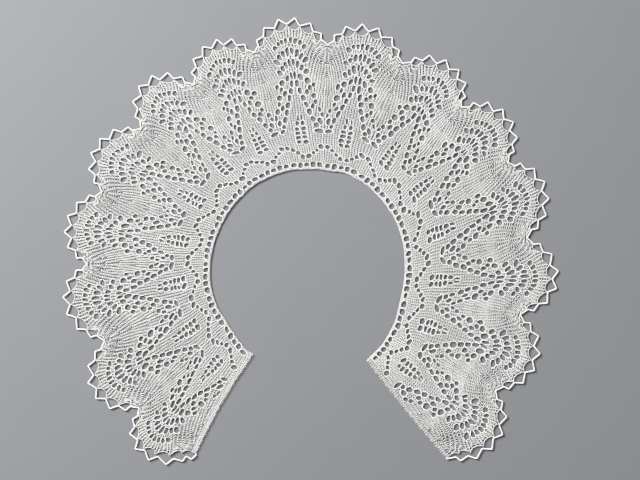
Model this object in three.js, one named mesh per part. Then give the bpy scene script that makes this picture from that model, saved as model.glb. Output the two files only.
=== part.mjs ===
// A wide knitted lace collar, laid flat: a C-shaped wall of lace with fifteen scallops,
// a firm neck edge, a plain band down each front and a crocheted chain-loop edging.
// Millimetres, +Z up, front opening towards -Y. The underside is the plane z = 0.
import * as THREE from 'three';

// ---- driving dimensions -------------------------------------------------------------------
const LACE_THICKNESS = 1.2;
const BAND_THICKNESS = 1.5;       // neck edge and front bands, worked firmer than the lace
const CHAIN_THICKNESS = 1.1;
const NECK_BAND_WIDTH = 2.6;
const LEFT_BAND_WIDTH = 4.4;
const RIGHT_BAND_WIDTH = 3.4;
const CHAIN_WIDTH = 1.2;
const SEAM = 0.3;                 // clearance between two pieces that are joined
const EDGE_SAG = 2.4;             // how far the lace edge sags between two caught-down points
const CHAIN_STANDOFF = 1.0;       // chain centreline above the caught-down point
const END_TRIM = 0.03;            // share of a scallop left free where two chains meet
const NECK_CENTRE = { x: -2.46, y: -20.24 };  // places the middle of the collar's box on the axis

// Steps along each curve.
const NECK_STEPS_PER_LEAF = 6;
const FRONT_STEPS = 6;
const SAG_STEPS = 3;

// ---- the cut --------------------------------------------------------------------------------
// One row for each leaf, from the left front round the back to the right front. Angles are in
// degrees about the neck's centre, anticlockwise from +X, and radii in millimetres: where the
// leaf's left border meets the neck edge, where that border ends in a valley between two
// scallops (on the first row, the front corner), and the top of the leaf's own scallop.
const LEAVES = [
  { neckAngle: 238.5, neckRadius: 80.4, valleyAngle: 239.4, valleyRadius: 171.0, tipAngle: 228.5, tipRadius: 191.6 },
  { neckAngle: 218.0, neckRadius: 76.8, valleyAngle: 219.9, valleyRadius: 172.2, tipAngle: 210.0, tipRadius: 190.3 },
  { neckAngle: 198.0, neckRadius: 77.4, valleyAngle: 200.0, valleyRadius: 169.3, tipAngle: 189.0, tipRadius: 187.8 },
  { neckAngle: 178.5, neckRadius: 76.3, valleyAngle: 179.2, valleyRadius: 172.9, tipAngle: 170.0, tipRadius: 187.4 },
  { neckAngle: 160.0, neckRadius: 75.3, valleyAngle: 160.0, valleyRadius: 171.7, tipAngle: 150.4, tipRadius: 186.6 },
  { neckAngle: 140.5, neckRadius: 75.7, valleyAngle: 140.3, valleyRadius: 169.7, tipAngle: 131.2, tipRadius: 189.0 },
  { neckAngle: 121.0, neckRadius: 76.4, valleyAngle: 121.9, valleyRadius: 168.6, tipAngle: 113.6, tipRadius: 186.6 },
  { neckAngle: 102.0, neckRadius: 76.8, valleyAngle: 104.0, valleyRadius: 173.3, tipAngle: 94.9, tipRadius: 190.4 },
  { neckAngle: 83.3, neckRadius: 76.8, valleyAngle: 84.8, valleyRadius: 174.8, tipAngle: 75.4, tipRadius: 190.2 },
  { neckAngle: 64.0, neckRadius: 79.2, valleyAngle: 65.0, valleyRadius: 176.4, tipAngle: 54.4, tipRadius: 190.0 },
  { neckAngle: 44.3, neckRadius: 78.4, valleyAngle: 46.1, valleyRadius: 174.0, tipAngle: 37.0, tipRadius: 192.2 },
  { neckAngle: 24.3, neckRadius: 77.6, valleyAngle: 27.5, valleyRadius: 177.2, tipAngle: 18.0, tipRadius: 192.4 },
  { neckAngle: 4.0, neckRadius: 76.4, valleyAngle: 7.6, valleyRadius: 173.7, tipAngle: -2.8, tipRadius: 191.6 },
  { neckAngle: -16.5, neckRadius: 76.8, valleyAngle: -12.6, valleyRadius: 170.9, tipAngle: -22.5, tipRadius: 190.2 },
  { neckAngle: -37.3, neckRadius: 81.9, valleyAngle: -33.3, valleyRadius: 176.4, tipAngle: -42.7, tipRadius: 197.6 },
];
// The right front: where its edge leaves the neck and where it ends.
const RIGHT_FRONT = { neckAngle: -57.8, neckRadius: 86.1, valleyAngle: -54.1, valleyRadius: 185.7 };
// How far each front edge bows away from its chord, towards the lace (+) or out of it (-).
const LEFT_FRONT_BOW = 2.2;
const RIGHT_FRONT_BOW = -1.0;

// One row for each point where the chain is caught to a scallop's edge: how far along the
// scallop, how high on its dome, and the height and lean of the chain loop that follows.
const CAUGHT_POINTS = [
  { along: 0.0, rise: 0.0, loopHeight: 0.3, lean: 0.0 },
  { along: 0.085, rise: 0.25, loopHeight: 4.0, lean: -0.15 },
  { along: 0.17, rise: 0.6, loopHeight: 5.9, lean: -0.1 },
  { along: 0.33, rise: 0.88, loopHeight: 6.3, lean: 0.0 },
  { along: 0.5, rise: 1.0, loopHeight: 6.3, lean: 0.05 },
  { along: 0.67, rise: 0.88, loopHeight: 5.7, lean: 0.1 },
  { along: 0.83, rise: 0.6, loopHeight: 3.9, lean: 0.15 },
  { along: 0.915, rise: 0.25, loopHeight: 0.3, lean: 0.0 },
  { along: 1.0, rise: 0.0, loopHeight: 0.0, lean: 0.0 },
];

// ---- plane geometry -------------------------------------------------------------------------
const borders = [...LEAVES, RIGHT_FRONT];

function polar(angle, radius) {
  const turn = THREE.MathUtils.degToRad(angle);
  return new THREE.Vector2(
    NECK_CENTRE.x + radius * Math.cos(turn),
    NECK_CENTRE.y + radius * Math.sin(turn),
  );
}

// The neck line: angle and radius run smoothly through the borders' neck ends.
const neckLine = new THREE.CatmullRomCurve3(
  borders.map((border) => new THREE.Vector3(border.neckAngle, border.neckRadius, 0)),
);

function neckPoint(share, offset) {
  const at = neckLine.getPoint(share);
  return polar(at.x, at.y + offset);
}

function outwardNormal(from, to) {
  // Scallops run clockwise seen from above, so the outside is on the left of their direction.
  const along = to.clone().sub(from).normalize();
  return new THREE.Vector2(-along.y, along.x);
}

// A front edge from neck corner to outer corner, bowed, and moved into the lace by an offset.
function frontPoint(border, bow, side, share, offset) {
  const start = polar(border.neckAngle, border.neckRadius);
  const end = polar(border.valleyAngle, border.valleyRadius);
  const inward = outwardNormal(start, end).multiplyScalar(side);
  const move = offset + bow * Math.sin(Math.PI * share);
  return start.lerp(end, share).addScaledVector(inward, move);
}

function frontLength(border) {
  return polar(border.neckAngle, border.neckRadius)
    .distanceTo(polar(border.valleyAngle, border.valleyRadius));
}

// The nine caught-down points of one scallop: its dome stands on the chord between two valleys
// and leans so that its top lies at the tip.
function caughtPoints(leaf) {
  const row = LEAVES[leaf];
  const start = polar(row.valleyAngle, row.valleyRadius);
  const end = polar(borders[leaf + 1].valleyAngle, borders[leaf + 1].valleyRadius);
  const middle = start.clone().lerp(end, 0.5);
  const lift = polar(row.tipAngle, row.tipRadius).sub(middle);
  return CAUGHT_POINTS.map((point) =>
    start.clone().lerp(end, point.along).addScaledVector(lift, point.rise));
}

// The lace edge of one scallop: shallow arcs that sag between the caught-down points.
function scallopEdge(leaf) {
  const caught = caughtPoints(leaf);
  const edge = [];
  for (let k = 0; k + 1 < caught.length; k += 1) {
    const normal = outwardNormal(caught[k], caught[k + 1]);
    const span = caught[k].distanceTo(caught[k + 1]);
    const sag = Math.min(EDGE_SAG, 0.25 * span);
    for (let step = 0; step < SAG_STEPS; step += 1) {
      const share = step / SAG_STEPS;
      edge.push(caught[k].clone().lerp(caught[k + 1], share)
        .addScaledVector(normal, -sag * Math.sin(Math.PI * share)));
    }
  }
  return edge;
}

// The centreline of one scallop's chain: up to each loop's peak and down to the next caught point.
function chainLine(leaf) {
  const caught = caughtPoints(leaf);
  const last = caught.length - 1;
  const line = [];
  caught.forEach((point, k) => {
    const before = caught[Math.max(k - 1, 0)];
    const after = caught[Math.min(k + 1, last)];
    const foot = point.clone().addScaledVector(outwardNormal(before, after), CHAIN_STANDOFF);
    if (k === 0) foot.lerp(caught[1], END_TRIM / CAUGHT_POINTS[1].along);
    if (k === last) foot.lerp(caught[last - 1], END_TRIM / CAUGHT_POINTS[1].along);
    line.push(foot);
    if (k < last && CAUGHT_POINTS[k].loopHeight > CHAIN_WIDTH) {
      const normal = outwardNormal(point, after);
      line.push(point.clone().lerp(after, 0.5 + CAUGHT_POINTS[k].lean)
        .addScaledVector(normal, CAUGHT_POINTS[k].loopHeight));
    }
  });
  return line;
}

// A strip of even width along a line, with mitred corners.
function ribbon(line, width) {
  const left = [];
  const right = [];
  line.forEach((point, k) => {
    const before = line[Math.max(k - 1, 0)];
    const after = line[Math.min(k + 1, line.length - 1)];
    const arriving = k > 0 ? outwardNormal(before, point) : outwardNormal(point, after);
    const leaving = k < line.length - 1 ? outwardNormal(point, after) : arriving;
    const mitre = arriving.clone().add(leaving).normalize();
    const reach = 0.5 * width / Math.max(mitre.dot(arriving), 0.5);
    left.push(point.clone().addScaledVector(mitre, reach));
    right.push(point.clone().addScaledVector(mitre, -reach));
  });
  return [...left, ...right.reverse()];
}

// ---- solids ---------------------------------------------------------------------------------
const material = (colour, roughness) =>
  new THREE.MeshStandardMaterial({ color: colour, roughness, metalness: 0 });

// A flat wall of cloth on the plane z = 0 with the given outline.
function wall(name, outline, thickness, finish) {
  const shape = new THREE.Shape(outline);
  const geometry = new THREE.ExtrudeGeometry(shape, { depth: thickness, bevelEnabled: false });
  const mesh = new THREE.Mesh(geometry, finish);
  mesh.name = name;
  return mesh;
}

function steps(count) {
  return Array.from({ length: count + 1 }, (_, k) => k / count);
}

function neckBand() {
  const along = steps(NECK_STEPS_PER_LEAF * LEAVES.length);
  const inner = along.map((share) => neckPoint(share, 0));
  const outer = along.map((share) => neckPoint(share, NECK_BAND_WIDTH)).reverse();
  return wall('neck_band', [...inner, ...outer], BAND_THICKNESS, material(0xf1f1ee, 0.9));
}

const FRONTS = {
  left: { border: LEAVES[0], bow: LEFT_FRONT_BOW, side: -1, width: LEFT_BAND_WIDTH },
  right: { border: RIGHT_FRONT, bow: RIGHT_FRONT_BOW, side: 1, width: RIGHT_BAND_WIDTH },
};

// How far along a front a line that is moved into the lace comes clear of the neck edge's band.
function clearOfNeck({ border, side }, offset) {
  const corner = polar(border.neckAngle, border.neckRadius);
  const along = polar(border.valleyAngle, border.valleyRadius).sub(corner).normalize();
  const inward = new THREE.Vector2(-along.y, along.x).multiplyScalar(side);
  const outwards = polar(border.neckAngle, 1).sub(polar(border.neckAngle, 0));
  const depth = NECK_BAND_WIDTH + SEAM - Math.min(offset * inward.dot(outwards), 0);
  return depth / along.dot(outwards);
}

// One side of a front, from just below the neck edge to the outer corner.
function frontSide(front, offset) {
  const start = clearOfNeck(front, offset) / frontLength(front.border);
  return steps(FRONT_STEPS).map((share) =>
    frontPoint(front.border, front.bow, front.side, start + (1 - start) * share, offset));
}

function frontEdge(name) {
  const front = FRONTS[name];
  const open = frontSide(front, 0);
  const joined = frontSide(front, front.width).reverse();
  return wall(`front_edge_${name}`, [...open, ...joined], BAND_THICKNESS, material(0xefefec, 0.9));
}

function laceBody() {
  const inset = (front) => frontSide(front, front.width + SEAM);
  const left = inset(FRONTS.left);
  const right = inset(FRONTS.right);
  const clearOfFront = (point) => !inFrontStrip(point, FRONTS.left) && !inFrontStrip(point, FRONTS.right);
  const neck = steps(NECK_STEPS_PER_LEAF * LEAVES.length)
    .map((share) => neckPoint(share, NECK_BAND_WIDTH + SEAM))
    .filter(clearOfFront);
  const edge = LEAVES.flatMap((_, leaf) => scallopEdge(leaf)).filter(clearOfFront);
  const outline = [...left, ...edge, ...right.reverse(), ...neck.reverse()];
  return wall('lace_body', outline, LACE_THICKNESS, material(0xececea, 0.95));
}

// Whether a point lies in the strip that a front's band and its seam take up.
function inFrontStrip(point, { border, bow, side, width }) {
  const start = polar(border.neckAngle, border.neckRadius);
  const end = polar(border.valleyAngle, border.valleyRadius);
  const chord = end.clone().sub(start);
  const share = point.clone().sub(start).dot(chord) / chord.lengthSq();
  const inward = outwardNormal(start, end).multiplyScalar(side);
  const onFront = frontPoint(border, bow, side, THREE.MathUtils.clamp(share, 0, 1), 0);
  const depth = point.clone().sub(onFront).dot(inward);
  const besideFront = Math.abs(share - 0.5) < 0.6;
  return besideFront && depth > -width && depth < width + 2 * SEAM;
}

function edging(leaf) {
  const name = `edging_${String(leaf + 1).padStart(2, '0')}`;
  return wall(name, ribbon(chainLine(leaf), CHAIN_WIDTH), CHAIN_THICKNESS, material(0xf4f4f2, 0.85));
}

const collar = new THREE.Group();
collar.add(neckBand(), laceBody(), frontEdge('left'), frontEdge('right'));
LEAVES.forEach((_, leaf) => collar.add(edging(leaf)));

export default collar;
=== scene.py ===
"""A wide lace collar, knitted in fine cotton thread and laid out flat.

Fifteen leaves fan out round the neck. Every row of knitting is one thread, bent into
loops that pull through the row before, and eyelets are opened by pushing the threads
aside. A plain strip edges each front, a firm strip edges the neck, and crochet chains
are caught along the scalloped rim. Lengths are in half stitches on the chart, in
millimetres on the collar, and in metres in meshes, settings and the stage.
"""

import bpy
import numpy as np
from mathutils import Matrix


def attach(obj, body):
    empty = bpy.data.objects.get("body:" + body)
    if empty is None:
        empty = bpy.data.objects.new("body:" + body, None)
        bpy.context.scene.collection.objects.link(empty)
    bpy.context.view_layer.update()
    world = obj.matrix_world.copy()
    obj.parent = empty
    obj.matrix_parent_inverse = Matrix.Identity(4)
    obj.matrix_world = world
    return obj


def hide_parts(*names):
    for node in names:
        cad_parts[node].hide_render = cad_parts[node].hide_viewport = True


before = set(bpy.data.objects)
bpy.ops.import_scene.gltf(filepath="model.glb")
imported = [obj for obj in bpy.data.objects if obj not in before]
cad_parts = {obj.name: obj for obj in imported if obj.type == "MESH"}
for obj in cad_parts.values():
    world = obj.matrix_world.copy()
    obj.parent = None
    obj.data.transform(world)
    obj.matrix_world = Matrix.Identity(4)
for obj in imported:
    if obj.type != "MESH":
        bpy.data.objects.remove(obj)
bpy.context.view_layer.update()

bl_info = {
    "name": "Knitted Lace Collar",
    "version": (1, 0, 0),
    "blender": (4, 5, 0),
    "location": "View3D > Sidebar > Collar",
    "description": "Knits a laid-out lace collar thread by thread",
    "category": "Add Mesh",
}

MM = 0.001

# -------------------- outline of the collar

NECK_CENTRE = np.array([-2.46, -20.24])
# One row a leaf, clockwise from the left front: angle and radius of its left border at
# the neck, of the same border at the rim, and of its tip. Degrees anticlockwise from +X.
LEAVES = np.array([
    (238.5, 80.4, 239.4, 171.0, 228.5, 191.6),
    (218.0, 76.8, 219.9, 172.2, 210.0, 190.3),
    (198.0, 77.4, 200.0, 169.3, 189.0, 187.8),
    (178.5, 76.3, 179.2, 172.9, 170.0, 187.4),
    (160.0, 75.3, 160.0, 171.7, 150.4, 186.6),
    (140.5, 75.7, 140.3, 169.7, 131.2, 189.0),
    (121.0, 76.4, 121.9, 168.6, 113.6, 186.6),
    (102.0, 76.8, 104.0, 173.3, 94.9, 190.4),
    (83.3, 76.8, 84.8, 174.8, 75.4, 190.2),
    (64.0, 79.2, 65.0, 176.4, 54.4, 190.0),
    (44.3, 78.4, 46.1, 174.0, 37.0, 192.2),
    (24.3, 77.6, 27.5, 177.2, 18.0, 192.4),
    (4.0, 76.4, 7.6, 173.7, -2.8, 191.6),
    (-16.5, 76.8, -12.6, 170.9, -22.5, 190.2),
    (-37.3, 81.9, -33.3, 176.4, -42.7, 197.6),
])
RIGHT_FRONT = (-57.8, 86.1, -54.1, 185.7)
LEAF_COUNT = len(LEAVES)
# Where the chain is caught along a leaf's rim: share of the way round, how far the rim
# has risen there towards the tip, height and lean of the next chain loop, and how far
# the knitted edge sags below it.
CAUGHT = np.array([
    (0.0, 0.0, 0.3, 0.0, 1.9),
    (0.085, 0.25, 4.0, -0.15, 3.4),
    (0.17, 0.6, 5.9, -0.1, 3.0),
    (0.33, 0.88, 6.3, 0.0, 3.4),
    (0.5, 1.0, 6.3, 0.05, 3.1),
    (0.67, 0.88, 5.7, 0.1, 3.0),
    (0.83, 0.6, 3.9, 0.15, 3.5),
    (0.915, 0.25, 0.3, 0.0, 1.9),
    (1.0, 0.0, 0.0, 0.0, 0.0),
])
# Height of the first chain loop at the left front's corner, where it is a full loop.
CORNER_LOOP = 3.4
# How far the chain's caught points within a leaf stand out from the rim.
FOOT_LIFT = 0.6
# The strip along each front: its width, how far it bows inwards half way along, its
# rows, its stitches, how often its edge draws in and how far, and the overlap and waist
# of its loops.
LEFT_BAND, LEFT_BOW, LEFT_ROWS = 4.4, 2.2, 3
RIGHT_BAND, RIGHT_BOW, RIGHT_ROWS = 3.4, -1.0, 2
FRONT_STITCHES = 50
FRONT_DIPS, DIP_DEPTH = 16, 0.7
FRONT_OVERLAP, FRONT_WAIST = 0.3, 0.05
# The seam between a strip and the lace. The strip's last row ends in its middle.
SEAM = 0.3
# The crochet chain: thickness of a strand, height of its middle above the base and how
# far it swings up and down. Then the plait: distance between its points, length of one
# turn, and how far a strand's middle keeps from the plait's edge.
STRAND_HEIGHT, CHAIN_HEIGHT, CHAIN_SWING = 0.36, 0.65, 0.2
PLAIT_STEP, PLAIT_TURN, PLAIT_INSET = 0.55, 3.6, 0.25
# The cast-off edge: width of its plait, and points along it for each leaf.
RIM_WIDTH, RIM_POINTS = 0.55, 130

# -------------------- the knitting chart

# Every eyelet of half a leaf, in half stitches: distance from the middle of the leaf,
# distance from the neck, half width, half height, turn in degrees.
EYELETS = np.array([
    (0.0, 4.4, 2.6, 1.6, 0),
    (6.85, 4.4, 2.0, 1.9, 0),
    (13.7, 4.4, 2.6, 1.6, 0),
    (3.5, 12.9, 2.5, 1.9, 10),
    (8.2, 16.1, 2.8, 1.6, 20),
    (12.8, 18.9, 2.7, 1.6, 20),
    (17.7, 22.4, 2.4, 1.9, 10),
    (3.6, 26.6, 2.6, 1.8, 0),
    (3.7, 31.4, 2.8, 1.5, 0),
    (3.7, 35.5, 2.8, 1.5, 0),
    (3.5, 39.8, 2.1, 1.3, 10),
    (19.4, 38.2, 3.1, 1.5, -10),
    (2.8, 45.0, 1.5, 1.7, 0),
    (17.6, 43.4, 2.3, 2.3, 20),
    (2.0, 50.8, 0.8, 2.3, 0),
    (15.4, 49.4, 2.3, 2.9, 20),
    (21.3, 47.6, 2.0, 2.8, 5),
    (12.7, 56.6, 2.3, 3.0, 20),
    (24.2, 53.2, 1.1, 2.0, 5),
    (10.1, 63.3, 2.2, 2.9, 20),
    (16.5, 61.5, 1.8, 2.4, 15),
    (22.8, 58.4, 1.8, 2.5, 0),
    (8.0, 70.2, 2.2, 3.0, 15),
    (19.4, 65.6, 1.7, 2.4, -10),
    (5.3, 76.8, 2.0, 3.0, 15),
    (12.0, 76.0, 2.0, 2.7, 10),
    (18.5, 72.0, 2.3, 2.3, 0),
    (3.2, 84.2, 1.8, 3.2, 10),
    (15.4, 80.0, 2.0, 2.3, 0),
    (2.1, 92.4, 1.1, 3.3, 0),
    (7.5, 90.2, 1.9, 2.9, 10),
    (14.0, 86.6, 2.3, 2.4, 0),
    (19.8, 83.0, 1.8, 2.4, -25),
    (2.2, 105.2, 1.3, 2.9, -5),
    (6.5, 102.8, 1.6, 2.9, -18),
    (10.6, 99.3, 1.4, 2.3, -42),
    (14.8, 96.2, 1.5, 2.6, -60),
    (2.6, 116.0, 1.5, 3.1, -4),
    (7.6, 114.0, 1.8, 2.9, -16),
    (11.9, 110.7, 1.5, 2.6, -45),
    (16.0, 107.2, 1.6, 2.9, -67),
    (2.4, 127.0, 1.3, 2.4, -3),
    (7.4, 126.2, 1.5, 2.4, -16),
    (12.0, 124.1, 1.6, 2.3, -45),
    (16.3, 120.6, 1.5, 2.3, -62),
])

# How the rows bend, in half stitches from the neck: depth in the middle of the leaf,
# depth at its border, share of the peak and its width as a share of half a leaf.
COURSES = np.array([
    (0.0, 0.0, 0.0, 0.4),
    (25.0, 25.0, 0.0, 0.4),
    (40.0, 38.0, 0.0, 0.4),
    (50.0, 47.5, 0.0, 0.4),
    (60.0, 57.0, 0.0, 0.4),
    (67.0, 63.0, 0.0, 0.4),
    (77.0, 69.5, 0.15, 0.44),
    (84.0, 75.0, 0.35, 0.44),
    (88.0, 78.5, 0.5, 0.44),
    (95.0, 83.5, 0.75, 0.46),
    (102.0, 88.5, 1.0, 0.46),
    (108.0, 93.0, 1.0, 0.46),
    (113.0, 97.5, 1.0, 0.46),
    (119.0, 103.0, 1.0, 0.5),
    (124.0, 107.0, 0.6, 0.5),
    (129.0, 111.5, 0.5, 0.5),
    (142.0, 122.0, 0.0, 0.5),
])
# The rim's depth in the middle of a leaf and at its border, and the power of its dome.
# A row's power is ROW_POWER, and changes to the dome's in the rows from BEND_FROM on.
MIDDLE_DEPTH, BORDER_DEPTH, DOME_POWER = 142.0, 122.0, 2.4
ROW_POWER, BEND_FROM = 4.0, 118
# Sideways lean of a leaf on its way out from the neck: depth, shift in half stitches.
LEAN = np.array([
    (0, 4.5), (13, 5.0), (20, 4.4), (27, 2.9), (50, 2.0), (87, 1.5), (110, 0),
]).T
# Half the width of a leaf at the neck, and its growth for each half stitch outwards.
NECK_HALF_LEAF, SPREAD = 17.1, 0.1745
# Depth of each row's heads in the middle of the leaf: three tight rows for the neck
# strip, then small stitches to the end of the ladder of eyelets and taller ones beyond.
NECK_DEPTHS = (1.2, 2.3, 3.4)
ROW_DEPTHS = np.concatenate([
    NECK_DEPTHS, np.linspace(3.4, 40.0, 20)[1:], np.linspace(40.0, 88.0, 21)[1:],
    np.linspace(88.0, 141.6, 25)[1:],
])
# Width of a stitch in half stitches of the chart, by depth.
STITCH_WIDTHS = np.array([(0, 2.2), (40, 2.2), (60, 2.35), (90, 2.6), (142, 2.7)]).T
# The slanting edge of the solid wedge: depth, and distance there from the middle.
WEDGE = np.array([(38.0, 19.4), (49.0, 15.4), (63.0, 10.1), (77.0, 5.2), (87.0, 2.0)]).T
# Depths between which a change sets in, or fades where the first is the deeper one.
WEDGE_IN, WEDGE_OUT = (34, 40), (92, 86)
FAN_IN, FAN_OUT, MOST_FAN = (84, 94), (142, 128), 0.32
MEET_IN, LOOSE_ABOVE, LOOSE_AWAY = (56, 64), (84, 92), (30, 42)
GATHER_IN, CAUGHT_IN = (130, 142), (122, 142)
# Columns run together within so far of a border, to this depth, at most so steeply.
MEET_WITHIN, MEET_DEPTH, MOST_MEET = (17, 11), 130, 0.4
# Looseness near the neck, beside the wedge and in it.
LOOSE_NECK, LOOSE_BESIDE, LOOSE_WEDGE = 0.8, 0.85, 0.5
# Points round a loop, parts that the step between two of them is divided into, and the
# points added where a thread jumps round an eyelet by more than so many radians.
STEPS, SPLITS, ARC_POINTS, JUMP = 5, 4, 6, 0.5
# How far a loop passes its base and head where the knitting is close, how much less
# where it is loose, and how far its legs draw together there. Then how much a loop is
# rounded, and the most that it passes by as a share of its height.
OVERLAP, LESS_OVERLAP, WAIST = 0.5, 0.35, 0.14
ROUNDING, MOST_BEYOND = 0.13, 0.45
# Depth of the first row's base.
FIRST_BASE = 0.3
# Shares of a stitch: a column ends where two are closer than the first, and starts in a
# gap wider than the second, or the third at the middle and border of a leaf, EDGE_START
# of the way in. Each then moves twice RELAX of the way to its neighbours' middle.
END_GAP, START_GAP, EDGE_GAP = 0.74, 1.45, 1.7
EDGE_START, RELAX = 0.35, 0.12
# An eyelet opens to so many times its charted half size, plus room for its thread.
EYELET_GROWTH, THREAD_ROOM = 1.28, 0.6
# It is smaller where a neighbour is closer than this many half sizes, but not below this
# share. It pushes threads as far as its reach, at least and at most so many half sizes.
CROWDED, SMALLEST = 2.0, 0.6
LEAST_REACH, MOST_REACH = 1.2, 1.8
# Hand knitting: spread of an eyelet's place in half stitches, of its size as a share,
# and of its turn in degrees. Then each wander of the cloth: seed, length and amount.
PLACE_SPREAD, SIZE_SPREAD, TURN_SPREAD = 0.25, 0.07, 9
EYELET_SEED = 11
WANDERS = ((5, 14.0, 0.24), (7, 3.6, 0.13))
# Threads lose points that lie closer to a straight line than the first of these. One
# unit of a loop's height counts as the second.
THIN_BELOW, HEIGHT_SHARE = 0.1, 0.2
# How much of a thread's section lies below its middle and above it.
SECTION_LOW, SECTION_HIGH = 0.38, 0.62
# The lace is made in this many rings, so that no piece has too many faces.
PANELS = 5

# -------------------- the stage, in metres

CAMERA_PLACE = (0.00734, 0.00093)
# Half the side of the floor, and its level. Then the strength of the light all round.
FLOOR_HALF, FLOOR_LEVEL = 5.0, -0.0004
WORLD_STRENGTH = 0.22


def ramp(value, ends):
    """From 0 at the first of two ends to 1 at the second, and level outside them."""
    return np.clip((value - ends[0]) / (ends[1] - ends[0]), 0, 1)


def half_leaf(depth):
    """Half the width of a leaf, in half stitches: it grows steadily with the depth."""
    return NECK_HALF_LEAF + SPREAD * depth


def course_depth(middle, across):
    """Depth at a share across the leaf, from -1 to 1, of the row whose middle is that deep.

    The border depth plus the rise to the middle, which goes as one less the fourth
    power of the share, or as a bell (one over one plus a square) where it is peaked.
    The last rows bend from there to the dome of the rim.
    """
    def at(column):
        return np.interp(middle, COURSES[:, 0], COURSES[:, column])

    power = np.interp(middle, (BEND_FROM, MIDDLE_DEPTH), (ROW_POWER, DOME_POWER))
    flat = 1 - np.abs(across) ** power
    foot = 1 / (1 + 1 / at(3) ** 2)
    bell = (1 / (1 + (across / at(3)) ** 2) - foot) / (1 - foot)
    return at(1) + (middle - at(1)) * (flat + (bell - flat) * at(2))


def wale_slope(x, depth):
    """How far a column of stitches moves away from the middle of the leaf for each step
    outwards.

    Near the neck all columns spread evenly. Beside the wedge they keep their distance
    from the border, and in the wedge from the middle. Past its top they fan out from
    the middle, by a half sine of the share across, and near the border they run
    together to where it meets the rim: the distance over the depth that is left.
    """
    half = half_leaf(depth)
    share = np.clip(np.abs(x) / half, 0, 1)
    edge = np.interp(depth, *WEDGE)
    outside = np.clip((np.abs(x) - edge) / 2 + 0.5, 0, 1)
    in_wedge = np.minimum(ramp(depth, WEDGE_IN), ramp(depth, WEDGE_OUT))
    even = share + (outside - share) * in_wedge
    fan = MOST_FAN * np.minimum(ramp(depth, FAN_IN), ramp(depth, FAN_OUT))
    border = half - np.abs(x)
    meet = np.clip(border / np.maximum(MEET_DEPTH - depth, 10), 0, MOST_MEET)
    meet = meet * ramp(depth, MEET_IN) * ramp(border, MEET_WITHIN)
    return np.sign(x) * (SPREAD * even + np.maximum(meet, fan * np.sin(np.pi * share)))


def looseness(x, depth):
    """How far the columns of loops stand apart, from 0 for close knitting to 1: least in
    the wedge, a little more near the neck, and most beside and past the wedge."""
    edge = np.interp(depth, *WEDGE)
    beside = LOOSE_BESIDE * np.clip((np.abs(x) - edge) / 3 + 0.5, 0, 1)
    most = np.maximum(beside, ramp(depth, LOOSE_ABOVE))
    away = ramp(depth, LOOSE_AWAY)
    return LOOSE_NECK * (1 - away) + away * np.maximum(most, LOOSE_WEDGE)


def loop_points(base, head, overlap, waist):
    """The thread of one row of loops, as points along it, with a height from -1 to 1.

    Each loop runs from its foot up through the base and round its head. Going once
    round an angle, the share of the way from base to head is a half less a half of
    the cosine, drawn out past both by the overlap. The place sideways is the share
    of the turn plus a sine of twice the angle, which rounds the loop, and the waist
    times a sine of the angle, which draws its legs together. The height is less the
    cosine of twice the angle. Neighbouring feet are joined half way.
    """
    turn = np.arange(STEPS) * 2 * np.pi / STEPS
    waist = np.broadcast_to(waist, len(base))[:, None]
    sideways = turn / (2 * np.pi) + ROUNDING * np.sin(2 * turn) + waist * np.sin(turn) - 0.5
    rise = head - base
    length = np.linalg.norm(rise, axis=1)
    beyond = np.clip(overlap / np.maximum(length, 1e-6), 0, MOST_BEYOND)
    beyond = np.broadcast_to(beyond, len(base))
    share = 0.5 - (0.5 + beyond[:, None]) * np.cos(turn)
    step = np.gradient(head, axis=0)
    points = base[:, None] + rise[:, None] * share[..., None] \
        + sideways[..., None] * step[:, None]
    foot = base - rise * beyond[:, None]
    points[1:, 0] = (foot[1:] + foot[:-1]) / 2
    points[0, 0] = foot[0] - step[0] / 2
    height = np.broadcast_to(-np.cos(2 * turn), share.shape)
    loops = np.concatenate([points, height[..., None]], axis=-1).reshape(-1, 3)
    end = np.append(foot[-1] + step[-1] / 2, -1.0)
    return np.vstack([loops, end])


def next_columns(moved, edge, width):
    """Columns of the next row over half a leaf, and the column that each comes from.

    A column starts in every gap that is wide enough, and one ends where the closest two
    are too close, counting the mirror images past the middle and past the border. Then
    each moves a little towards the middle of its neighbours, twice.
    """
    own = np.arange(len(moved))
    gaps = np.diff(np.concatenate([[-moved[0]], moved, [2 * edge - moved[-1]]]))
    closest = gaps.argmin()
    keep = np.ones(len(own), bool)
    if gaps[closest] < END_GAP * width:
        keep[min(closest, len(own) - 1)] = False
    wide = np.nonzero(gaps[1:-1] > START_GAP * width)[0]
    added = [(moved[wide] + moved[wide + 1]) / 2]
    came = [wide]
    if gaps[0] > EDGE_GAP * width:
        added.append(moved[:1] * EDGE_START)
        came.append(own[:1])
    if gaps[-1] > EDGE_GAP * width:
        added.append(edge - (edge - moved[-1:]) * EDGE_START)
        came.append(own[-1:])
    place = np.concatenate([moved[keep], *added])
    came = np.concatenate([own[keep], *came])
    order = np.argsort(place)
    place, came = place[order], came[order]
    for _ in range(2):
        padded = np.concatenate([[-place[0]], place, [2 * edge - place[-1]]])
        place = place + RELAX * (padded[:-2] + padded[2:] - 2 * place)
    return place, came


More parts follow.
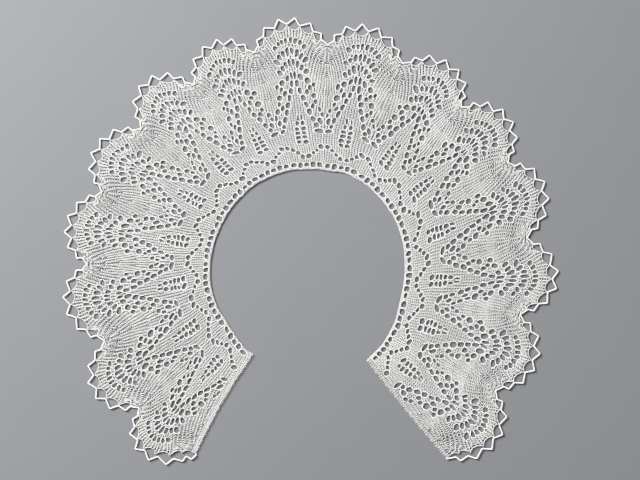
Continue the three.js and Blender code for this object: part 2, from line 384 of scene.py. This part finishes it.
def leaf_rows():
    """Thread points of every row of one leaf on the chart's grid.

    Each stitch is pulled through the head of the row before in its own column. The
    columns of half a leaf are followed row by row, and mirrored.
    """
    rows = []
    before = None
    for middle in ROW_DEPTHS:
        width = np.interp(middle, *STITCH_WIDTHS)
        edge = half_leaf(course_depth(middle, 1.0))
        if before is None:
            count = int(round(edge / width))
            place = (np.arange(count) + 0.5) / count * edge
            base = np.stack([place, np.full(count, FIRST_BASE)], axis=-1)
        else:
            share = before[:, 0] / half_leaf(before[:, 1])
            gap = course_depth(middle, share) - before[:, 1]
            moved = before[:, 0] + wale_slope(before[:, 0], before[:, 1]) * gap
            place, came = next_columns(moved, edge, width)
            base = before[came]
        # A leaf's width depends on the depth there, so a few rounds settle both.
        depth = course_depth(middle, np.clip(place / edge, 0, 1))
        for _ in range(3):
            depth = course_depth(middle, np.clip(place / half_leaf(depth), 0, 1))
        before = np.stack([place, depth], axis=-1)
        mirror = np.array([-1, 1])
        head, base = (np.vstack([half[::-1] * mirror, half]) for half in (before, base))
        loose = looseness(head[:, 0], head[:, 1])
        rows.append(loop_points(base, head, OVERLAP - LESS_OVERLAP * loose, WAIST * loose))
    return rows


def both_sides(half):
    """Half a leaf's eyelets and their mirror image, the middle one only once."""
    other = half[half[:, 0] > 0.01] * np.array([-1, 1, 1, 1, -1])
    return np.vstack([half, other])


def divided(points, parts):
    """Points with each step between them divided evenly into parts."""
    at = np.arange((len(points) - 1) * parts + 1) / parts
    start = np.minimum(at.astype(int), len(points) - 2)
    return points[start] + (points[start + 1] - points[start]) * (at - start)[:, None]


def thinned(points, tolerance):
    """Points without those that lie closer than the tolerance to the straight line
    between their neighbours, or to a neighbour: every second point is tried, eight
    times over."""
    for turn in range(8):
        tried = np.arange(1 + turn % 2, len(points) - 1, 2)
        before, here, after = points[tried - 1], points[tried], points[tried + 1]
        way = after - before
        long = np.maximum((way ** 2).sum(1), 1e-12)
        share = np.clip(((here - before) * way).sum(1) / long, 0, 1)
        off = np.linalg.norm(here - before - way * share[:, None], axis=1)
        keep = np.ones(len(points), bool)
        keep[tried[off < tolerance]] = False
        points = points[keep]
    return points


def open_eyelets(points, centres, sizes, turns):
    """Thread points pushed out of every eyelet, so that each stands open as an oval,
    and each point's place in the line it came from.

    Distance from an eyelet is measured in its own half sizes. Inside its reach a
    point's distance d becomes one plus d times (reach less one) over the reach, so the
    middle goes to the rim and nothing moves at the reach, a bit over half way to the
    next eyelet. One with a close neighbour is made smaller first. A thread that passes
    close to a middle jumps from side to side there, so points are added that take it
    round the rim.
    """
    along = np.stack([np.cos(turns), np.sin(turns)], axis=-1) / sizes[:, :1]
    up = np.stack([-np.sin(turns), np.cos(turns)], axis=-1) / sizes[:, 1:]

    def measured(x, y):
        return x * along[:, 0] + y * along[:, 1], x * up[:, 0] + y * up[:, 1]

    between = np.hypot(*measured(*(centres[:, None] - centres[None]).transpose(2, 0, 1)))
    np.fill_diagonal(between, 9.0)
    crowded = np.clip(between.min(0) / CROWDED, SMALLEST, 1)
    sizes = sizes * crowded[:, None]
    along, up = along / crowded[:, None], up / crowded[:, None]
    reach = np.clip(0.5 * between.min(0) / crowded + 0.1, LEAST_REACH, MOST_REACH)
    right, rise = measured(*(points[:, None, :2] - centres[None]).transpose(2, 0, 1))
    nearest = ((right * right + rise * rise) / reach ** 2).argmin(1)
    every = np.arange(len(points))
    right, rise, limit = right[every, nearest], rise[every, nearest], reach[nearest]
    own = np.hypot(right, rise)
    grown = np.where(own < limit, 1 + own * (limit - 1) / limit, own)
    angle = np.arctan2(rise, right)
    swept = (np.diff(angle) + np.pi) % (2 * np.pi) - np.pi
    jump = np.nonzero(
        (nearest[1:] == nearest[:-1]) & (np.abs(swept) > JUMP) & (grown[1:] < limit[1:]))[0]
    part = np.arange(1, ARC_POINTS + 1) / (ARC_POINTS + 1)
    place = np.concatenate([every.astype(float), (jump[:, None] + part).ravel()])
    which = np.concatenate([nearest, np.repeat(nearest[jump], len(part))])
    angle = np.concatenate([angle, (angle[jump, None] + swept[jump, None] * part).ravel()])
    steps = np.diff(grown)[jump]
    radius = np.concatenate([grown, (grown[jump, None] + steps[:, None] * part).ravel()])
    order = np.argsort(place, kind="stable")
    place, which, angle, radius = place[order], which[order], angle[order], radius[order]
    right, rise = radius * np.cos(angle), radius * np.sin(angle)
    flat = centres[which] + right[:, None] * along[which] * sizes[which, :1] ** 2 \
        + rise[:, None] * up[which] * sizes[which, 1:] ** 2
    height = np.interp(place, every, points[:, 2])
    return np.column_stack([flat, height]), place


def polar(angle, radius):
    """Points at an angle in degrees and a radius about the middle of the neck."""
    turn = np.radians(angle)
    return NECK_CENTRE + np.stack([radius * np.cos(turn), radius * np.sin(turn)], axis=-1)


def smooth_through(values, at):
    """A smooth curve through evenly spaced values: a cubic between each two of them,
    whose slope at each value is half the step between its neighbours."""
    values = np.concatenate([
        [2 * values[0] - values[1]], values, [2 * values[-1] - values[-2]],
    ])
    start = np.clip(np.floor(at).astype(int), 0, len(values) - 4)
    t = at - start
    a, b, c, d = (values[start + k] for k in range(4))
    return b + t / 2 * (c - a + t * (2 * a - 5 * b + 4 * c - d + t * (3 * (b - c) + d - a)))


BORDERS = np.vstack([LEAVES[:, :4], RIGHT_FRONT])
NECK_POINTS = polar(BORDERS[:, 0], BORDERS[:, 1])
VALLEYS = polar(BORDERS[:, 2], BORDERS[:, 3])
TIPS = polar(LEAVES[:, 4], LEAVES[:, 5])


def neck_point(place):
    """The neck line at a place counted in leaves, smooth through the leaves' borders."""
    angle = smooth_through(BORDERS[:, 0], place)
    return polar(angle, smooth_through(BORDERS[:, 1], place))


def rim_point(place, caught):
    """The rim at a place counted in leaves: the straight line between two valleys plus
    a rise towards the tip, a smooth dome where caught is 0 and straight runs between
    the caught points where it is 1."""
    leaf = np.clip(np.floor(place), 0, LEAF_COUNT - 1).astype(int)
    along = np.clip(place - leaf, 0, 1)
    start, end = VALLEYS[leaf], VALLEYS[leaf + 1]
    dome = 1 - np.abs(2 * along - 1) ** DOME_POWER
    runs = np.interp(along, CAUGHT[:, 0], CAUGHT[:, 1])
    rise = dome + (runs - dome) * caught
    lift = TIPS[leaf] - (start + end) / 2
    return start + (end - start) * along[:, None] + lift * rise[:, None]


def front_offset(side, share, inset):
    """The step inwards from the straight run between neck and rim at the left (0) or
    right (1) front: the inset plus the bow times a half sine of the share."""
    way = VALLEYS[-side] - NECK_POINTS[-side]
    way = way / np.linalg.norm(way)
    inward = np.array([way[1], -way[0]]) * (-1 if side else 1)
    bow = RIGHT_BOW if side else LEFT_BOW
    return inward * (inset + bow * np.sin(np.pi * share))[:, None]


def front_line(side, share, inset):
    """A line along the left (0) or right (1) front, inwards by the inset and the bow."""
    start, end = NECK_POINTS[-side], VALLEYS[-side]
    return start + (end - start) * share[:, None] + front_offset(side, share, inset)


def onto_collar(points, leaf, middle):
    """Chart points of one leaf laid on the collar, in millimetres.

    The share across the leaf gives the place round the collar, moved by the leaf's
    lean, and the depth the way from the neck line to the rim. In the last rows the stitches
    gather to the caught points and the edge sags between them. The outermost leaves
    make room for the strips along the fronts.
    """
    across, depth = points[:, 0], points[:, 1]
    place = leaf + (across / half_leaf(depth) + 1) / 2
    lean = np.interp(depth, *LEAN) / (2 * half_leaf(depth))
    if leaf in (0, LEAF_COUNT - 1):
        lean = lean * np.clip(np.minimum(place, LEAF_COUNT - place), 0, 1)
    place = place + lean
    place = np.clip(place, 0, LEAF_COUNT - 1e-6)
    own = np.floor(place)
    along = place - own
    across = 2 * along - 1
    last = ramp(middle, GATHER_IN)
    run = np.clip(np.searchsorted(CAUGHT[:, 0], along, side="right") - 1, 0, len(CAUGHT) - 2)
    low, high = CAUGHT[run, 0], CAUGHT[run + 1, 0]
    share = (along - low) / (high - low)
    gather = 0.05 * np.sin(2 * np.pi * share) * last
    place = own + low + (high - low) * (share - gather)
    caught = ramp(middle, CAUGHT_IN) ** 1.5
    start, end = neck_point(place), rim_point(place, caught)
    long = np.linalg.norm(end - start, axis=1)
    full = BORDER_DEPTH + (MIDDLE_DEPTH - BORDER_DEPTH) * (1 - np.abs(across) ** DOME_POWER)
    sag = CAUGHT[run, 4] * last * np.sin(np.pi * share)
    part = depth / full - sag / long
    flat = start + (end - start) * part[:, None]
    for side, width in ((0, LEFT_BAND), (1, RIGHT_BAND)):
        near = place if side == 0 else LEAF_COUNT - place
        pull = np.clip(1 - near, 0, 1) ** 1.2
        flat = flat + front_offset(side, part, width + SEAM) * pull[:, None]
    return flat


def rim_line():
    """The middle line of the cast-off edge: the rim, which sags between the caught
    points like the last row."""
    across = 2 * np.arange(RIM_POINTS) / RIM_POINTS - 1
    depth = course_depth(MIDDLE_DEPTH, across)
    points = np.stack([across * half_leaf(depth), depth], axis=-1)
    middle = np.full(RIM_POINTS, MIDDLE_DEPTH)
    return np.vstack([onto_collar(points, leaf, middle) for leaf in range(LEAF_COUNT)])


def ripple(points, seed, size, amount):
    """A small smooth sideways wander of a place in the cloth: six waves of random
    direction, length and phase, added up."""
    rng = np.random.default_rng(seed)
    out = np.zeros((len(points), 2))
    for _ in range(6):
        turn, phase = rng.uniform(0, 2 * np.pi, 2)
        length = size * rng.uniform(0.6, 1.6)
        wave = points[:, :2] @ np.array([np.cos(turn), np.sin(turn)]) * 2 * np.pi / length
        swing = rng.uniform(0, 2 * np.pi)
        out += np.sin(wave + phase)[:, None] * np.array([np.cos(swing), np.sin(swing)])
    return out * amount / np.sqrt(6)


def unevenness(points, irregular):
    """How far hand knitting lies off its chart: a long wander, and a fine one that makes
    the small holes unequal."""
    return sum(
        ripple(points, seed, size, amount * irregular) for seed, size, amount in WANDERS)


def knit_collar(irregular):
    """Every row's thread round the whole collar, flat in millimetres, with the height of
    the loop from -1 to 1."""
    rows = [divided(row, SPLITS) for row in leaf_rows()]
    lengths = [len(row) for row in rows]
    starts = np.concatenate([[0], np.cumsum(lengths)])
    flat_rows = np.vstack(rows)
    middle = np.repeat(ROW_DEPTHS, lengths)
    shape = both_sides(EYELETS)
    spots = (LEAF_COUNT, len(shape))
    rng = np.random.default_rng(EYELET_SEED)
    wander = rng.normal(0, PLACE_SPREAD * irregular, (*spots, 2))
    grow = 1 + rng.normal(0, SIZE_SPREAD * irregular, (*spots, 2))
    skew = rng.normal(0, TURN_SPREAD * irregular, spots)
    pieces = [[] for _ in rows]
    for leaf in range(LEAF_COUNT):
        centres, sizes, turns = [], [], []
        for step in (-1, 0, 1):
            other = min(max(leaf + step, 0), LEAF_COUNT - 1)
            moved = shape[:, :2] + wander[other]
            moved[:, 0] += 2 * step * half_leaf(moved[:, 1])
            centres.append(moved)
            sizes.append(shape[:, 2:4] * grow[other])
            turns.append(np.radians(shape[:, 4] + skew[other]))
        centres, turns = np.vstack(centres), np.concatenate(turns)
        sizes = np.vstack(sizes) * EYELET_GROWTH + THREAD_ROOM
        # This leaf's eyelets, and those up to ten half stitches past its borders.
        near = np.abs(centres[:, 0]) < half_leaf(centres[:, 1]) + 10
        points, place = open_eyelets(flat_rows, centres[near], sizes[near], turns[near])
        points[:, :2] = onto_collar(points, leaf, middle[place.astype(int)])
        for k, part in enumerate(np.split(points, np.searchsorted(place, starts[1:-1]))):
            pieces[k].append(part)
    out = []
    for parts in pieces:
        thread = np.vstack([part[:-1] for part in parts[:-1]] + [parts[-1]])
        thread[:, :2] += unevenness(thread, irregular)
        thread[:, 2] *= HEIGHT_SHARE
        thread = thinned(thread, THIN_BELOW)
        thread[:, 2] /= HEIGHT_SHARE
        out.append(thread)
    return out


# -------------------- meshes and materials


def leftward(steps):
    """The direction of each step turned a quarter to the left, one long."""
    side = np.stack([-steps[:, 1], steps[:, 0]], axis=-1)
    return side / np.maximum(np.linalg.norm(steps, axis=1, keepdims=True), 1e-9)


def thread_mesh(name, threads, width, height, base, swing):
    """One mesh of many threads, each a flattened three-sided tube along its points.

    The section at a point is a low triangle: two corners half the width to either
    side, across the way the thread runs, and one on top. The height of a loop, from
    -1 to 1, lifts it by the swing. Two attributes run along and across each thread
    for the pattern of its twist. Both ends are closed.
    """
    corners, faces, along, across = [], [], [], []
    firsts = 3 * np.cumsum([0] + [len(thread) for thread in threads])
    for thread, start in zip(threads, firsts):
        count = len(thread)
        side = leftward(np.gradient(thread[:, :2], axis=0)) * width / 2
        middle = base + swing * thread[:, 2]
        low = middle - SECTION_LOW * height
        left = np.column_stack([thread[:, :2] + side, low])
        right = np.column_stack([thread[:, :2] - side, low])
        top = np.column_stack([thread[:, :2], middle + SECTION_HIGH * height])
        corners.append(np.stack([left, right, top], axis=1).reshape(-1, 3))
        step = np.linalg.norm(np.diff(thread[:, :2], axis=0), axis=1)
        along.append(np.repeat(np.concatenate([[0.0], np.cumsum(step)]), 3))
        across.append(np.tile([-1.0, 1.0, 0.0], count))
        ring = start + 3 * np.arange(count - 1)[:, None]
        this, following = np.array([0, 1, 2]), np.array([1, 2, 0])
        quads = np.stack([
            ring + this, ring + this + 3, ring + following + 3, ring + following,
        ], axis=-1)
        faces.append(quads.reshape(-1, 4))
    caps = [(a, a + 1, a + 2) for a in firsts[:-1]]
    caps += [(b - 1, b - 2, b - 3) for b in firsts[1:]]
    corners = np.vstack(corners) * MM
    quads, caps = np.vstack(faces), np.array(caps)
    mesh = bpy.data.meshes.new(name)
    mesh.vertices.add(len(corners))
    mesh.vertices.foreach_set("co", corners.astype(np.float32).ravel())
    loops = np.concatenate([quads.ravel(), caps.ravel()])
    mesh.loops.add(len(loops))
    mesh.loops.foreach_set("vertex_index", loops.astype(np.int32))
    sizes = np.concatenate([np.full(len(quads), 4), np.full(len(caps), 3)])
    mesh.polygons.add(len(sizes))
    starts = np.concatenate([[0], np.cumsum(sizes)[:-1]])
    mesh.polygons.foreach_set("loop_start", starts.astype(np.int32))
    mesh.polygons.foreach_set("use_smooth", np.ones(len(sizes), bool))
    for label, values in (("along", along), ("across", across)):
        layer = mesh.attributes.new(label, "FLOAT", "POINT")
        layer.data.foreach_set("value", np.concatenate(values).astype(np.float32))
    mesh.update(calc_edges=True)
    mesh.validate()
    piece = bpy.data.objects.new(name, mesh)
    bpy.context.scene.collection.objects.link(piece)
    return piece


def linear(code):
    """An sRGB hex colour as linear red, green and blue: each part is divided by 12.92
    where it is dark, and otherwise raised to the power 2.4 after a small shift."""
    parts = np.array([int(code[k:k + 2], 16) for k in (1, 3, 5)]) / 255
    out = np.where(parts <= 0.04045, parts / 12.92, ((parts + 0.055) / 1.055) ** 2.4)
    return tuple(float(value) for value in out)


def add_node(tree, kind, settings=None, links=None, **values):
    """Adds a node with its settings, its input values and its links.

    settings are attributes of the node, links map an input's name or number to an
    output socket, and values map an input's name to a number or colour.
    """
    node = tree.nodes.new(kind)
    for key, value in (settings or {}).items():
        setattr(node, key, value)
    for key, value in values.items():
        node.inputs[key.replace("_", " ")].default_value = value
    for key, socket in (links or {}).items():
        tree.links.new(socket, node.inputs[key])
    return node


def empty_material(name):
    """A new material and its empty node tree."""
    material = bpy.data.materials.new(name)
    material.use_nodes = True
    material.node_tree.nodes.clear()
    return material, material.node_tree


def cotton_thread(name, colour, shade, twist):
    """Twisted, mercerised cotton thread: a soft white with a faint warm shade from age in
    places, fine slanting ridges along it with painted shade darkening the grooves between
    them, and a dull sheen."""
    material, tree = empty_material(name)
    coords = add_node(tree, "ShaderNodeTexCoord")
    along = add_node(tree, "ShaderNodeAttribute", {"attribute_name": "along"})
    across = add_node(tree, "ShaderNodeAttribute", {"attribute_name": "across"})
    # One ridge for each turn of the twist. It slants by a third of a turn, 2.1 radians,
    # from the middle of the thread to its edge.
    turns = add_node(
        tree, "ShaderNodeMath", {"operation": "MULTIPLY"}, {0: along.outputs["Fac"]})
    turns.inputs[1].default_value = 2 * np.pi / twist
    slant = add_node(
        tree, "ShaderNodeMath", {"operation": "MULTIPLY_ADD"},
        {0: across.outputs["Fac"], 2: turns.outputs[0]})
    slant.inputs[1].default_value = 2.1
    ridges = add_node(
        tree, "ShaderNodeMath", {"operation": "SINE"}, {0: slant.outputs[0]})
    # Handled and aged areas some 40 mm across.
    patches = add_node(
        tree, "ShaderNodeTexNoise", None, {"Vector": coords.outputs["Object"]},
        Scale=1 / 0.04, Detail=3.0, Roughness=0.55)
    # Loose fibre, 0.2 mm across.
    fibre = add_node(
        tree, "ShaderNodeTexNoise", None, {"Vector": coords.outputs["Object"]},
        Scale=1 / 0.0002, Detail=2.0, Roughness=0.6)
    tint = add_node(
        tree, "ShaderNodeMapRange", None, {"Value": patches.outputs["Fac"]},
        From_Min=0.35, From_Max=0.7, To_Min=0.0, To_Max=0.6)
    mixed = add_node(
        tree, "ShaderNodeMix", {"data_type": "RGBA"}, {0: tint.outputs["Result"]})
    # The mix node's colours are its inputs 6 and 7 and its output 2.
    mixed.inputs[6].default_value = (*colour, 1)
    mixed.inputs[7].default_value = (*shade, 1)
    # Painted shade: the colour is scaled from 0.9 in the grooves between the ridges to 1.0
    # on their crests, so the grooves are darker as if shade fell in them.
    painted_groove_shade = add_node(
        tree, "ShaderNodeMapRange", None, {"Value": ridges.outputs[0]},
        From_Min=-1.0, From_Max=1.0, To_Min=0.9, To_Max=1.0)
    colour_with_painted_shade = add_node(
        tree, "ShaderNodeVectorMath", {"operation": "SCALE"},
        {0: mixed.outputs[2], "Scale": painted_groove_shade.outputs["Result"]})
    rough = add_node(
        tree, "ShaderNodeMapRange", None, {"Value": fibre.outputs["Fac"]},
        To_Min=0.62, To_Max=0.85)
    bump = add_node(
        tree, "ShaderNodeBump", None, {"Height": ridges.outputs[0]},
        Strength=0.35, Distance=0.00004)
    fuzz = add_node(
        tree, "ShaderNodeBump", None,
        {"Height": fibre.outputs["Fac"], "Normal": bump.outputs["Normal"]},
        Strength=0.25, Distance=0.00003)
    shader = add_node(
        tree, "ShaderNodeBsdfPrincipled", None,
        {"Base Color": colour_with_painted_shade.outputs[0], "Roughness": rough.outputs["Result"],
         "Normal": fuzz.outputs["Normal"]},
        IOR=1.53, Specular_IOR_Level=0.35, Sheen_Weight=0.12, Sheen_Roughness=0.4)
    add_node(
        tree, "ShaderNodeOutputMaterial", None, {"Surface": shader.outputs["BSDF"]})
    return material


def matt_board(name, colour):
    """Painted matt board for the floor: an even mid grey with a very faint mottle."""
    material, tree = empty_material(name)
    coords = add_node(tree, "ShaderNodeTexCoord")
    mottle = add_node(
        tree, "ShaderNodeTexNoise", None, {"Vector": coords.outputs["Object"]},
        Scale=30.0, Detail=2.0)
    even = add_node(
        tree, "ShaderNodeMapRange", None, {"Value": mottle.outputs["Fac"]},
        To_Min=0.985, To_Max=1.015)
    shade = add_node(
        tree, "ShaderNodeVectorMath", {"operation": "SCALE"},
        {"Scale": even.outputs["Result"]})
    shade.inputs[0].default_value = colour
    shader = add_node(
        tree, "ShaderNodeBsdfPrincipled", None, {"Base Color": shade.outputs[0]},
        Roughness=0.9, IOR=1.45)
    add_node(
        tree, "ShaderNodeOutputMaterial", None, {"Surface": shader.outputs["BSDF"]})
    return material


def finish_piece(piece, nodes, material):
    """Gives a piece its material, its place in the model and the parts it stands for."""
    piece.data.materials.append(material)
    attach(piece, "root")
    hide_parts(*nodes)
    return piece


def collar_thread(settings):
    """The cotton thread that the whole collar is knitted in, made once and shared."""
    name = "mercerised cotton thread"
    return bpy.data.materials.get(name) or cotton_thread(
        name, tuple(settings.thread_colour), tuple(settings.aged_colour),
        settings.twist / MM)


def knitted_piece(name, threads, node, settings):
    """A piece of knitting in the collar's thread, which stands for one part."""
    piece = thread_mesh(
        name, threads, settings.thread_width / MM, settings.thread_height / MM,
        settings.cloth_height / MM, settings.loop_swing / MM)
    return finish_piece(piece, [node], collar_thread(settings))


# -------------------- settings and operators


def metres(label, what, value):
    """A setting that is a length."""
    return bpy.props.FloatProperty(
        name=label, description=what, default=value, unit="LENGTH")


def tone(label, what, code):
    """A setting that is a colour, as an sRGB hex value."""
    return bpy.props.FloatVectorProperty(
        name=label, description=what, default=linear(code), subtype="COLOR",
        min=0.0, max=1.0)


class CollarSettings(bpy.types.PropertyGroup):
    """Sizes and colours of the collar that a user would change."""

    thread_width: metres(
        "Thread width", "Width of the knitting thread, slightly flattened", 0.00034)
    thread_height: metres(
        "Thread height", "Thickness of the knitting thread", 0.0003)
    cloth_height: metres(
        "Cloth height", "Height of the middle of the cloth above its base", 0.0006)
    loop_swing: metres(
        "Loop swing", "How far a loop rises and falls through the cloth", 0.0002)
    irregular: bpy.props.FloatProperty(
        name="Hand knitting", description="How uneven the hand knitting is, 0 for none",
        default=1.0, min=0.0, max=2.0, subtype="FACTOR")
    twist: metres(
        "Twist", "Length of one turn of the thread's twist", 0.0007)
    chain_thread: metres(
        "Chain thread", "Width of each strand of the crochet chain", 0.00055)
    chain_width: metres(
        "Chain width", "Width of the crochet chain along the rim", 0.0011)
    thread_colour: tone(
        "Thread colour", "Colour of the cotton", "#E8E8E5")
    aged_colour: tone(
        "Aged colour", "Colour of the cotton where it has yellowed", "#DFDED6")


class StageSettings(bpy.types.PropertyGroup):
    """Camera, lights and floor."""

    camera_height: metres(
        "Camera height", "Height of the camera above the collar's base", 1.1855)
    key_power: bpy.props.FloatProperty(
        name="Key power", description="Power of the main soft light in watts",
        default=225.0, min=0.0)
    fill_power: bpy.props.FloatProperty(
        name="Fill power", description="Power of the soft light opposite in watts",
        default=26.0, min=0.0)
    floor_colour: tone(
        "Floor colour", "Colour of the grey matt floor", "#666769")


class COLLAR_OT_stage(bpy.types.Operator):
    """Makes the camera straight above the collar, the soft lights and the floor"""

    bl_idname = "collar.stage"
    bl_label = "Stage"

    def execute(self, context):
        settings = context.scene.collar_stage
        camera = bpy.data.objects.new("camera", bpy.data.cameras.new("camera"))
        camera.data.lens = 85
        camera.data.sensor_width = 36
        camera.location = (*CAMERA_PLACE, settings.camera_height)
        context.scene.collection.objects.link(camera)
        context.scene.camera = camera
        for name, power, size, place in (
            ("key light", settings.key_power, 0.8, (-1.5, 1.3, 1.15)),
            ("fill light", settings.fill_power, 1.6, (1.5, -1.1, 1.5)),
        ):
            light = bpy.data.lights.new(name, "AREA")
            light.energy = power
            light.size = size
            lamp = bpy.data.objects.new(name, light)
            away = np.array(place) / np.linalg.norm(place)
            lamp.location = place
            turn = np.arctan2(away[1], away[0]) + np.pi / 2
            lamp.rotation_euler = (np.arccos(away[2]), 0, turn)
            context.scene.collection.objects.link(lamp)
        context.scene.view_settings.view_transform = "Khronos PBR Neutral"
        world = bpy.data.worlds.new("soft studio")
        world.use_nodes = True
        background = world.node_tree.nodes["Background"]
        background.inputs["Color"].default_value = (0.95, 0.97, 1.0, 1)
        background.inputs["Strength"].default_value = WORLD_STRENGTH
        context.scene.world = world
        corners = [
            (x * FLOOR_HALF, y * FLOOR_HALF, FLOOR_LEVEL)
            for x, y in ((-1, -1), (1, -1), (1, 1), (-1, 1))
        ]
        mesh = bpy.data.meshes.new("floor")
        mesh.from_pydata(corners, [], [(0, 1, 2, 3)])
        floor = bpy.data.objects.new("floor", mesh)
        context.scene.collection.objects.link(floor)
        mesh.materials.append(matt_board("matt board", tuple(settings.floor_colour)))
        return {"FINISHED"}


class COLLAR_OT_lace(bpy.types.Operator):
    """Knits the lace leaves and the firm strip round the neck, row by row"""

    bl_idname = "collar.lace"
    bl_label = "Lace"

    def execute(self, context):
        settings = context.scene.collar
        rows = knit_collar(settings.irregular)
        first = len(NECK_DEPTHS)
        neck = knitted_piece("neck_strip", rows[:first], "neck_band", settings)
        rim = [f"edging_{leaf + 1:02d}_chain" for leaf in range(LEAF_COUNT)]
        rim += ["front_edge_left_strip", "front_edge_right_strip"]
        sizes = np.cumsum([len(row) for row in rows[first:]])
        ends = first + np.searchsorted(sizes, sizes[-1] * np.arange(1, PANELS + 1) / PANELS)
        for number, last in enumerate(np.minimum(ends + 1, len(rows))):
            threads = rows[first:last]
            if last == len(rows):
                threads = threads + chain_strands(rim_line(), RIM_WIDTH)
            panel = knitted_piece(
                f"lace_rows_{number + 1}", threads, "lace_body", settings)
            first = last
        return {"FINISHED"}


class COLLAR_OT_fronts(bpy.types.Operator):
    """Knits the plain strip along each front"""

    bl_idname = "collar.fronts"
    bl_label = "Fronts"

    def execute(self, context):
        settings = context.scene.collar
        for side, name, width, rows in (
            (0, "front_edge_left", LEFT_BAND, LEFT_ROWS),
            (1, "front_edge_right", RIGHT_BAND, RIGHT_ROWS),
        ):
            share = (np.arange(FRONT_STITCHES) + 0.5) / FRONT_STITCHES
            # The edge draws in by a sine squared along it.
            inset = DIP_DEPTH * np.sin(FRONT_DIPS * np.pi * share) ** 2
            lines = [front_line(side, share, inset)]
            lines += [
                front_line(side, share, width * k / rows + SEAM / 2)
                for k in range(1, rows + 1)
            ]
            threads = [
                loop_points(lines[k + 1], lines[k], FRONT_OVERLAP, FRONT_WAIST)
                for k in range(rows)
            ]
            for thread in threads:
                thread[:, :2] += unevenness(thread, settings.irregular)
            knitted_piece(f"{name}_strip", threads, name, settings)
        return {"FINISHED"}


class COLLAR_OT_edging(bpy.types.Operator):
    """Crochets the chain loops along the rim, one run a leaf"""

    bl_idname = "collar.edging"
    bl_label = "Edging"

    def execute(self, context):
        settings = context.scene.collar
        for leaf in range(LEAF_COUNT):
            threads = chain_strands(chain_line(leaf), settings.chain_width / MM)
            name = f"edging_{leaf + 1:02d}"
            piece = thread_mesh(
                f"{name}_chain", threads, settings.chain_thread / MM,
                STRAND_HEIGHT, CHAIN_HEIGHT, CHAIN_SWING)
            finish_piece(piece, [name], collar_thread(settings))
        return {"FINISHED"}


def chain_line(leaf):
    """The middle line of one leaf's chain loops: up from each caught point to a peak
    above the middle of the next run, moved by its lean, and down again. Caught points
    within the leaf stand out a little from the rim."""
    start, end = VALLEYS[leaf], VALLEYS[leaf + 1]
    lift = TIPS[leaf] - (start + end) / 2
    foot = start + (end - start) * CAUGHT[:, :1] + lift * CAUGHT[:, 1:2]
    step = np.diff(foot, axis=0)
    out = leftward(step)
    height = CAUGHT[:-1, 2:3].copy()
    if leaf == 0:
        height[0] = CORNER_LOOP
    peak = foot[:-1] + step * (0.5 + CAUGHT[:-1, 3:4]) + out * height
    line = np.empty((2 * len(foot) - 1, 2))
    line[0::2], line[1::2] = foot, peak
    line[0::2][1:-1] += (out[1:] + out[:-1]) / 2 * FOOT_LIFT
    return line


def chain_strands(line, width):
    """Three strands plaited along a line of points, as a crochet chain looks.

    The line is sampled evenly and smoothed. Each strand swings across it by a sine, a
    third of a turn from the next, and over and under by a sine of twice the angle.
    """
    step = np.linalg.norm(np.diff(line, axis=0), axis=1)
    run = np.concatenate([[0.0], np.cumsum(step)])
    count = int(run[-1] / PLAIT_STEP)
    at = np.linspace(0, run[-1], count)
    middle = np.stack([np.interp(at, run, line[:, k]) for k in (0, 1)], axis=-1)
    middle[1:-1] = (middle[:-2] + 2 * middle[1:-1] + middle[2:]) / 4
    side = leftward(np.gradient(middle, axis=0))
    strands = []
    for third in range(3):
        angle = 2 * np.pi * (at / PLAIT_TURN + third / 3)
        swing = np.sin(angle) * (width / 2 - PLAIT_INSET)
        height = np.sin(2 * angle)
        strands.append(np.column_stack([middle + side * swing[:, None], height]))
    return strands


class COLLAR_PT_panel(bpy.types.Panel):
    """Lists the parts of the collar and their settings"""

    bl_idname = "COLLAR_PT_panel"
    bl_label = "Lace Collar"
    bl_space_type = "VIEW_3D"
    bl_region_type = "UI"
    bl_category = "Collar"

    def draw(self, context):
        for operator in ("stage", "lace", "fronts", "edging"):
            self.layout.operator(f"collar.{operator}")
        for group in (context.scene.collar, context.scene.collar_stage):
            box = self.layout.box()
            for name in group.__annotations__:
                box.prop(group, name)


CLASSES = (
    CollarSettings,
    StageSettings,
    COLLAR_OT_stage,
    COLLAR_OT_lace,
    COLLAR_OT_fronts,
    COLLAR_OT_edging,
    COLLAR_PT_panel,
)


def register():
    for item in CLASSES:
        bpy.utils.register_class(item)
    bpy.types.Scene.collar = bpy.props.PointerProperty(type=CollarSettings)
    bpy.types.Scene.collar_stage = bpy.props.PointerProperty(type=StageSettings)


def unregister():
    del bpy.types.Scene.collar_stage
    del bpy.types.Scene.collar
    for item in reversed(CLASSES):
        bpy.utils.unregister_class(item)


def main():
    """Makes everything in order."""
    register()
    bpy.ops.collar.stage()
    bpy.ops.collar.fronts()
    bpy.ops.collar.edging()
    bpy.ops.collar.lace()


if __name__ == "__main__":
    main()
